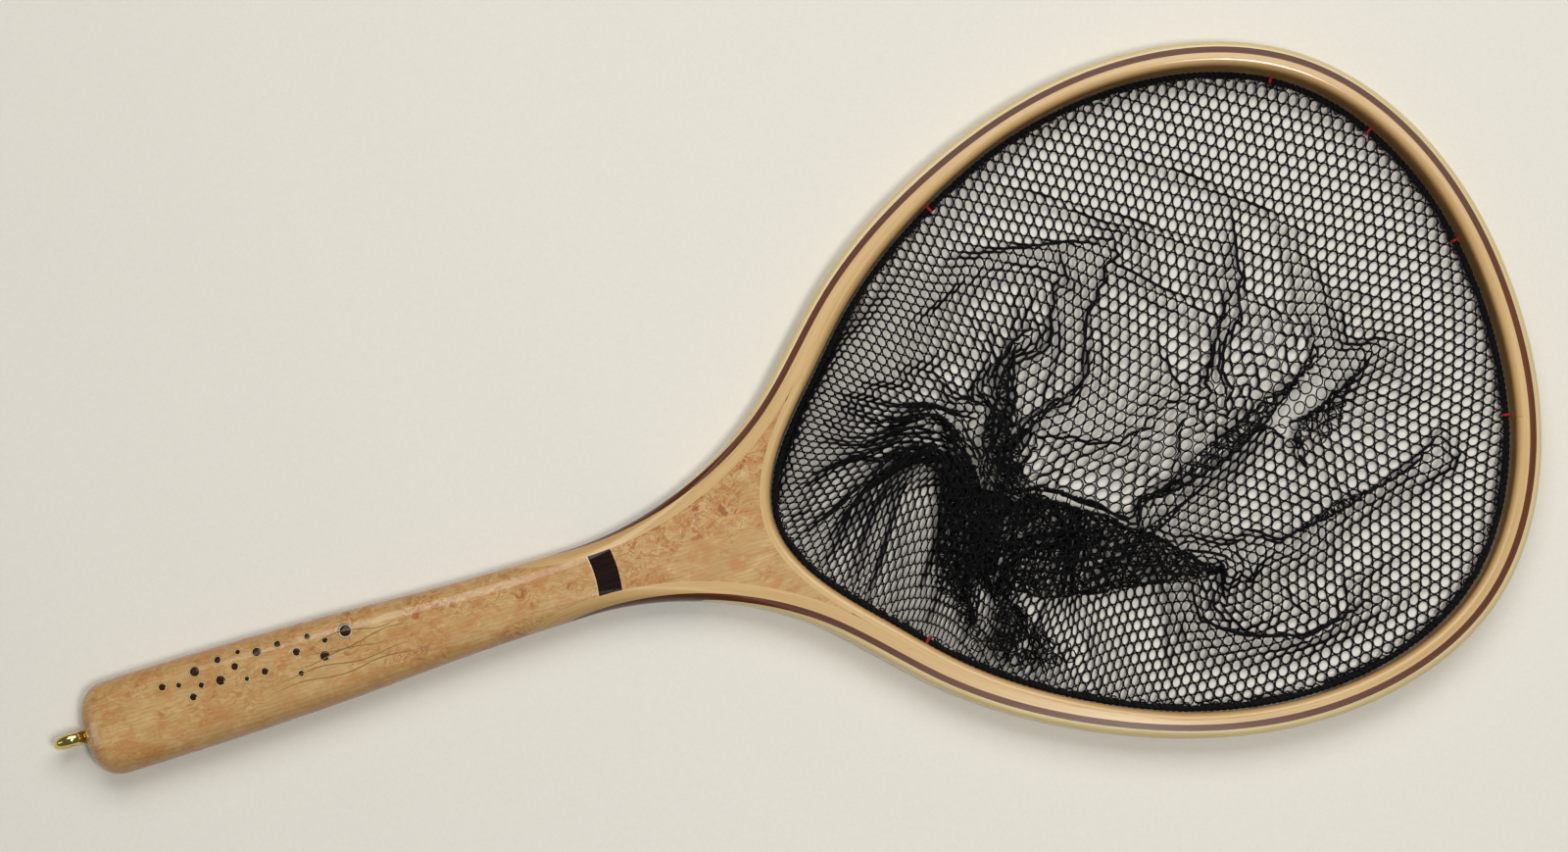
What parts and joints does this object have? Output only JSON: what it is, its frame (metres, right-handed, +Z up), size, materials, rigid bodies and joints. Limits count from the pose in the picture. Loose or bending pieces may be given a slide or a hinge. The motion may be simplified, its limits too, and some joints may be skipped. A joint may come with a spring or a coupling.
{
  "type": "landing net",
  "caption": "Hand landing net: laminated teardrop wood hoop and handle, black mesh bag folded inside the hoop, brass lanyard eye on the butt.",
  "frame": {"origin": "under the middle of the net's length, on the surface it lies on", "axes": "+X along the net from the butt of the handle to the tip of the hoop, +Y across the hoop, +Z up out of the hoop's mouth"},
  "size_m": [0.6476, 0.2964, 0.02],
  "materials": {
    "light_maple": "clear gloss varnish over pale straight-grained strips",
    "figured_maple": "clear gloss varnish over figured wood",
    "dark_walnut": "clear gloss varnish over dark brown wood",
    "rosewood": "near-black polished hardwood",
    "brass": "polished",
    "nickel_silver": "polished flush with the wood",
    "black_nylon": "matte knotless netting and cord",
    "red_thread": "whipped thread"
  },
  "bodies": {
    "root": {"accent_band": "rosewood", "core_ply": "light_maple", "dark_ply": "dark_walnut", "head_rope": "black_nylon", "inner_ply": "light_maple", "lacing_cord": "black_nylon", "lanyard_eye": "brass", "marker_thread_1": "red_thread", "marker_thread_2": "red_thread", "marker_thread_3": "red_thread", "marker_thread_4": "red_thread", "marker_thread_5": "red_thread", "marker_thread_6": "red_thread", "net_bag": "black_nylon", "outer_ply": "light_maple", "rear_handle_block": "figured_maple", "spot_core_01": "rosewood", "spot_core_02": "rosewood", "spot_core_03": "rosewood", "spot_core_04": "rosewood", "spot_core_05": "rosewood", "spot_core_06": "rosewood", "spot_core_07": "rosewood", "spot_core_08": "rosewood", "spot_core_09": "rosewood", "spot_core_10": "rosewood", "spot_core_11": "rosewood", "spot_core_12": "rosewood", "spot_core_13": "rosewood", "spot_core_14": "rosewood", "spot_core_15": "rosewood", "spot_core_16": "rosewood", "spot_core_17": "rosewood", "spot_core_18": "rosewood", "spot_core_19": "rosewood", "spot_ring_01": "nickel_silver", "spot_ring_02": "nickel_silver", "spot_ring_03": "nickel_silver", "spot_ring_04": "nickel_silver", "spot_ring_05": "nickel_silver", "spot_ring_06": "nickel_silver", "spot_ring_07": "nickel_silver", "spot_ring_08": "nickel_silver", "spot_ring_09": "nickel_silver", "spot_ring_10": "nickel_silver", "spot_ring_11": "nickel_silver", "spot_ring_12": "nickel_silver", "spot_ring_13": "nickel_silver", "spot_ring_14": "nickel_silver", "spot_ring_15": "nickel_silver", "spot_ring_16": "nickel_silver", "spot_ring_17": "nickel_silver", "spot_ring_18": "nickel_silver", "spot_ring_19": "nickel_silver", "throat_block": "figured_maple"}
  },
  "joints": []
}
